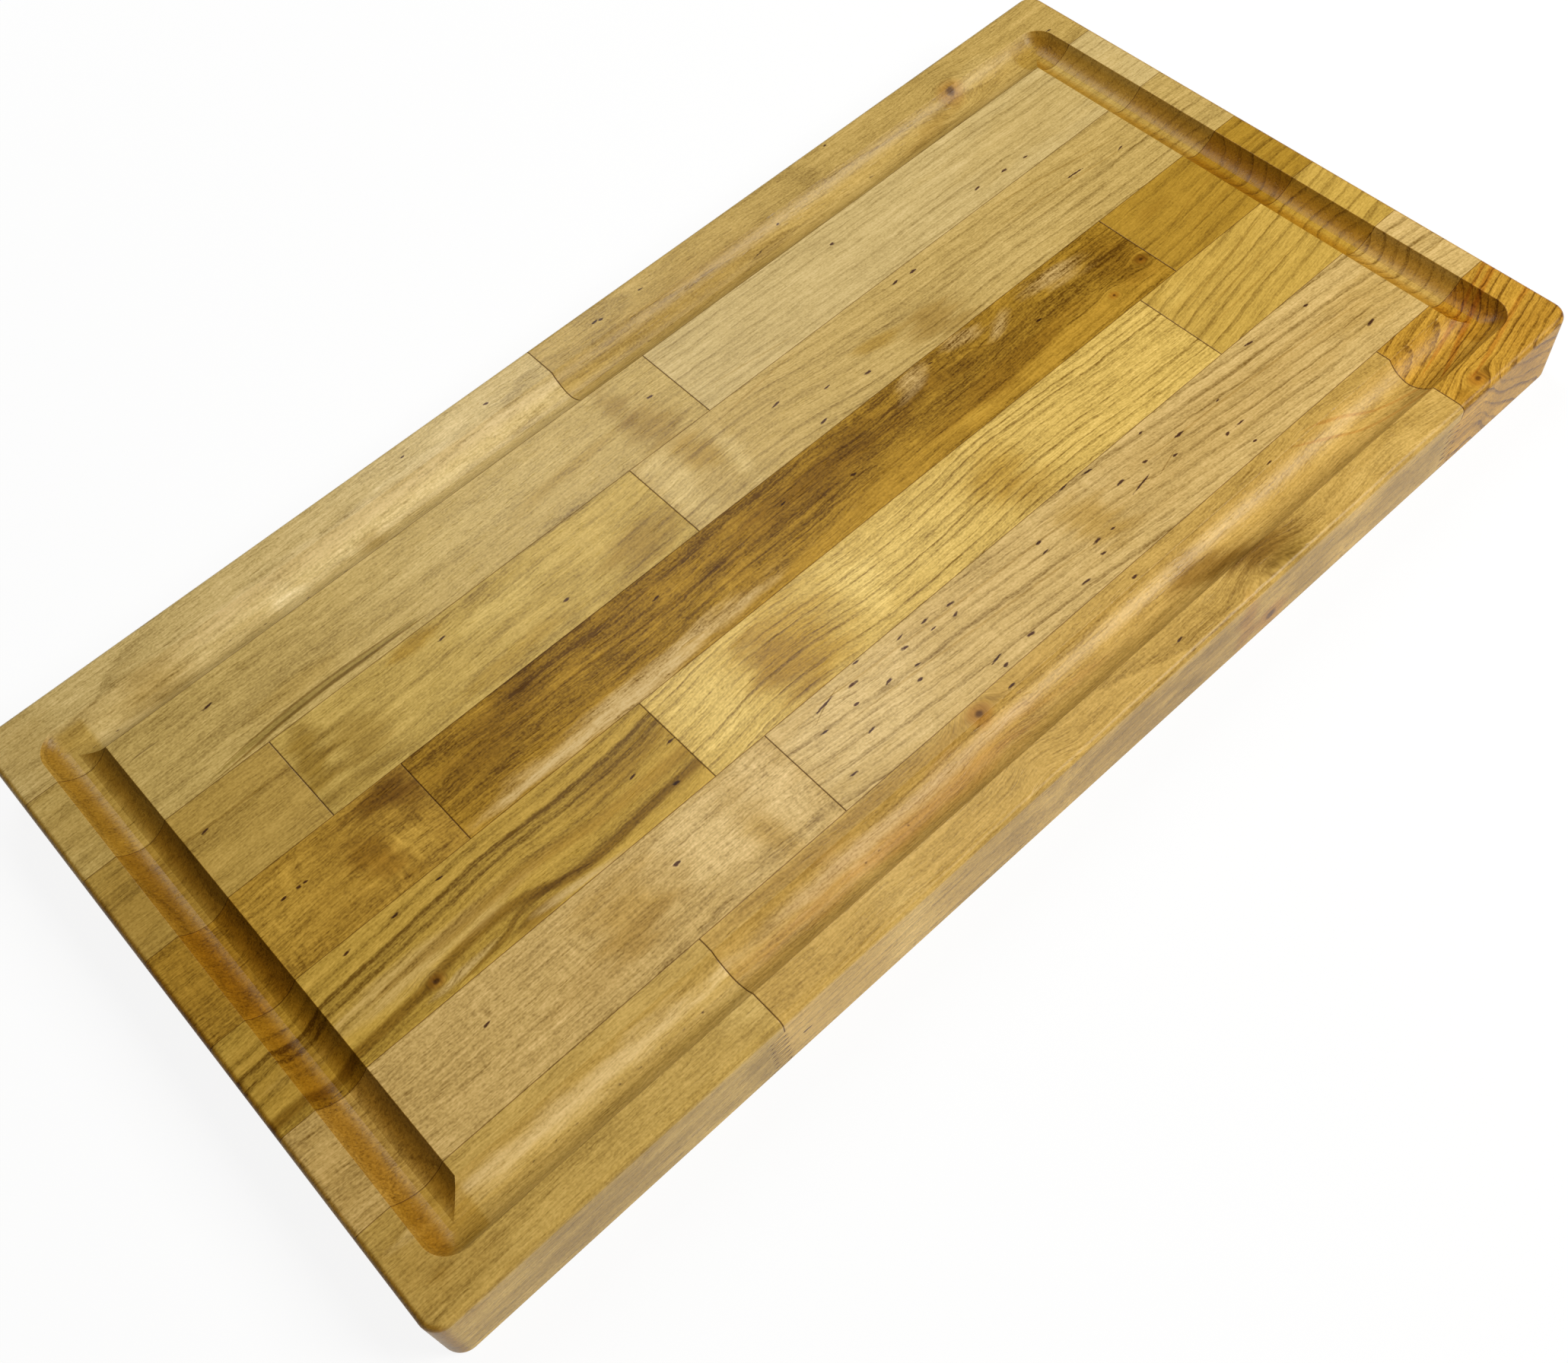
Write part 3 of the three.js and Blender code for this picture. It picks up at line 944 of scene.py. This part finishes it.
def tint_cut_fibres(net, colour, x, z):
    """End grain, and the end legs of the groove, are darker because they soak up more oil."""
    facing_x, _, facing_z = net.axes(net.node("TexCoord", output="Normal"))
    end_grain = net.step(abs(facing_x), 0.06, 0.5)
    colour = net.tint(colour, END_GRAIN, end_grain)
    below_the_top = net.step(z, THICKNESS - ARRIS_RADIUS, THICKNESS - 3)
    facing_up = net.step(facing_z, 0.2, 0.6)
    near_the_end = net.step(abs(x), GROOVE_END_X - 12, GROOVE_END_X - 9)
    return net.tint(colour, OILED, below_the_top * facing_up * near_the_end)


def make_wood(node, wood, box):
    """The material of one stave; its box is the CAD's, fingers included."""
    net = Net(node + "_wood")
    middle = (box[0] + box[1]) / 2
    place = net.scaled(net.node("TexCoord", output="Object"), 1 / MM)
    x, flow, z = grain_place(net, place, wood, middle)
    tone, relief = wood_tone(net, x, flow, z, wood, middle)
    colour = wood_colour(net, place, tone, x, flow, wood, box)
    colour = tint_cut_fibres(net, colour, x, z)
    glue = glue_lines(net, place, box)
    colour = net.tint(colour, GLUE, glue * GLUE_STRENGTH)
    bump = net.node("Bump", {
        "Height": relief - glue,
        "Strength": BUMP_STRENGTH,
        "Distance": BUMP_HEIGHT,
    })
    net.finish(net.node("BsdfPrincipled", {
        "Base Color": colour,
        "Roughness": relief * ROUGHNESS_VARIES + ROUGHNESS,
        "Specular IOR Level": wood.gloss,
        "Normal": bump,
    }))
    return net.material


# ---------------------------------------------------------------- shape

def outline(half_x, half_y, centre_y, radius, z):
    """A rounded rectangle's points; a zero radius repeats its sharp corners."""
    points = []
    for quarter, (side_x, side_y) in enumerate(((1, 1), (-1, 1), (-1, -1), (1, -1))):
        for i in range(CORNER_STEPS + 1):
            angle = math.pi / 2 * (quarter + i / CORNER_STEPS)
            points.append((
                side_x * (half_x - radius) + radius * math.cos(angle),
                centre_y + side_y * (half_y - radius) + radius * math.sin(angle),
                z,
            ))
    return points


def groove_profile():
    """(distance outwards from the groove's middle line, Z), from its outer edge to the middle."""
    flank_width = (GROOVE_WIDTH - GROOVE_FLAT) / 2
    steepest = 2 * math.atan(GROOVE_DEPTH / flank_width) - FLANK_SLOPE
    radius = flank_width / (math.sin(steepest) - math.sin(FLANK_SLOPE))
    bottom = THICKNESS - GROOVE_DEPTH
    setback = ARRIS_RADIUS * math.tan(steepest / 2)
    profile = []
    for i in range(ARRIS_STEPS + 1):
        slope = i / ARRIS_STEPS * steepest
        profile.append((
            GROOVE_WIDTH / 2 + setback - ARRIS_RADIUS * math.sin(slope),
            THICKNESS - ARRIS_RADIUS * (1 - math.cos(slope)),
        ))
    for i in range(FLANK_STEPS + 1):
        slope = steepest + i / FLANK_STEPS * (FLANK_SLOPE - steepest)
        height = bottom + radius * (math.cos(FLANK_SLOPE) - math.cos(slope))
        if height < profile[-1][1]:
            profile.append((
                GROOVE_FLAT / 2 + radius * (math.sin(slope) - math.sin(FLANK_SLOPE)), height))
    return profile


def board_rings():
    """The board's surface as rings, from the underside up its sides and over to the plateau."""
    rings = []
    for side in (0, 1):
        for i in range(EDGE_STEPS + 1):
            angle = math.pi / 2 * (i / EDGE_STEPS if side == 0 else 1 - i / EDGE_STEPS)
            inset = EDGE_RADIUS * (1 - math.sin(angle))
            rise = EDGE_RADIUS * (1 - math.cos(angle))
            z = rise if side == 0 else THICKNESS - rise
            rings.append(outline(
                HALF_LENGTH - inset, HALF_WIDTH - inset, 0, CORNER_RADIUS - inset, z))
    half_y = (GROOVE_BACK_Y - GROOVE_FRONT_Y) / 2
    centre_y = (GROOVE_BACK_Y + GROOVE_FRONT_Y) / 2
    outer = groove_profile()
    inner = [(-reach, z) for reach, z in reversed(outer)]
    for reach, z in outer + inner:
        rings.append(outline(
            GROOVE_END_X + reach, half_y + reach, centre_y, max(reach, 0), z))
    return rings


def loft(name, rings):
    """A closed mesh object over rings of equally many points, capped at both ends."""
    count = len(rings[0])
    points = [point for ring in rings for point in ring]
    faces = [tuple(reversed(range(count)))]
    for level in range(len(rings) - 1):
        for i in range(count):
            a = level * count + i
            b = level * count + (i + 1) % count
            faces.append((a, b, b + count, a + count))
    faces.append(tuple(range(len(points) - count, len(points))))
    mesh = bpy.data.meshes.new(name)
    mesh.from_pydata(points, [], faces)
    tidy = bmesh.new()
    tidy.from_mesh(mesh)
    bmesh.ops.remove_doubles(tidy, verts=tidy.verts, dist=1e-5)
    bmesh.ops.recalc_face_normals(tidy, faces=tidy.faces)
    tidy.to_mesh(mesh)
    tidy.free()
    made = bpy.data.objects.new(name, mesh)
    bpy.context.scene.collection.objects.link(made)
    return made


def stave_end(x, jointed):
    """One end of a stave from the top down, in the plane of X and Z."""
    points = [(x, THICKNESS + OVERSIZE)]
    for i in range(FINGER_COUNT if jointed else 0):
        z = FINGER_TOP_Z - i * FINGER_PITCH
        points += [
            (x, z),
            (x - FINGER_LENGTH, z - FINGER_FLANK),
            (x - FINGER_LENGTH, z - FINGER_FLANK - FINGER_TIP),
            (x, z - 2 * FINGER_FLANK - FINGER_TIP),
        ]
    return points + [(x, -OVERSIZE)]


def rough_stave(name, box):
    """The stave before planing: its length and joints are right, its other faces oversize."""
    low, high = box
    left_free = low.x < OVERSIZE - HALF_LENGTH
    right_free = high.x > HALF_LENGTH - OVERSIZE
    left = stave_end(low.x - OVERSIZE if left_free else low.x + FINGER_LENGTH, not left_free)
    right = stave_end(high.x + (OVERSIZE if right_free else 0), not right_free)
    section = left + right[::-1]
    front = low.y - (OVERSIZE if low.y < OVERSIZE - HALF_WIDTH else 0)
    back = high.y + (OVERSIZE if high.y > HALF_WIDTH - OVERSIZE else 0)
    return loft(name, [[(x, y, z) for x, z in section] for y in (front, back)])


def finish_edges(piece):
    """Smooth curves, crisp arrises, and flats that shade flat."""
    mesh = piece.data
    mesh.shade_smooth()
    mesh.set_sharp_from_angle(angle=SHARPEST_SMOOTH_BEND)
    weighted = piece.modifiers.new("flat_faces", "WEIGHTED_NORMAL")
    weighted.keep_sharp = True


def make_stave(node, wood, board):
    """A rough stave planed to the board's surface, in place of the CAD's."""
    box = [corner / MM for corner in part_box(node)]
    piece = rough_stave(node + "_timber", box)
    cut = piece.modifiers.new("planing", "BOOLEAN")
    cut.operation = "INTERSECT"
    cut.solver = "EXACT"
    cut.object = board
    finished = piece.evaluated_get(bpy.context.evaluated_depsgraph_get())
    rough, mesh = piece.data, bpy.data.meshes.new_from_object(finished)
    piece.modifiers.clear()
    piece.data = mesh
    bpy.data.meshes.remove(rough)
    mesh.transform(Matrix.Scale(MM, 4))
    mesh.materials.clear()
    mesh.materials.append(make_wood(node, wood, box))
    finish_edges(piece)
    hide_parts(node)
    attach(piece, "root")


def make_staves():
    board = loft("planed_board", board_rings())
    for node, wood in WOODS.items():
        make_stave(node, wood, board)
    bpy.data.objects.remove(board)


add_camera()
set_world()
add_lights()
add_floor()
make_staves()
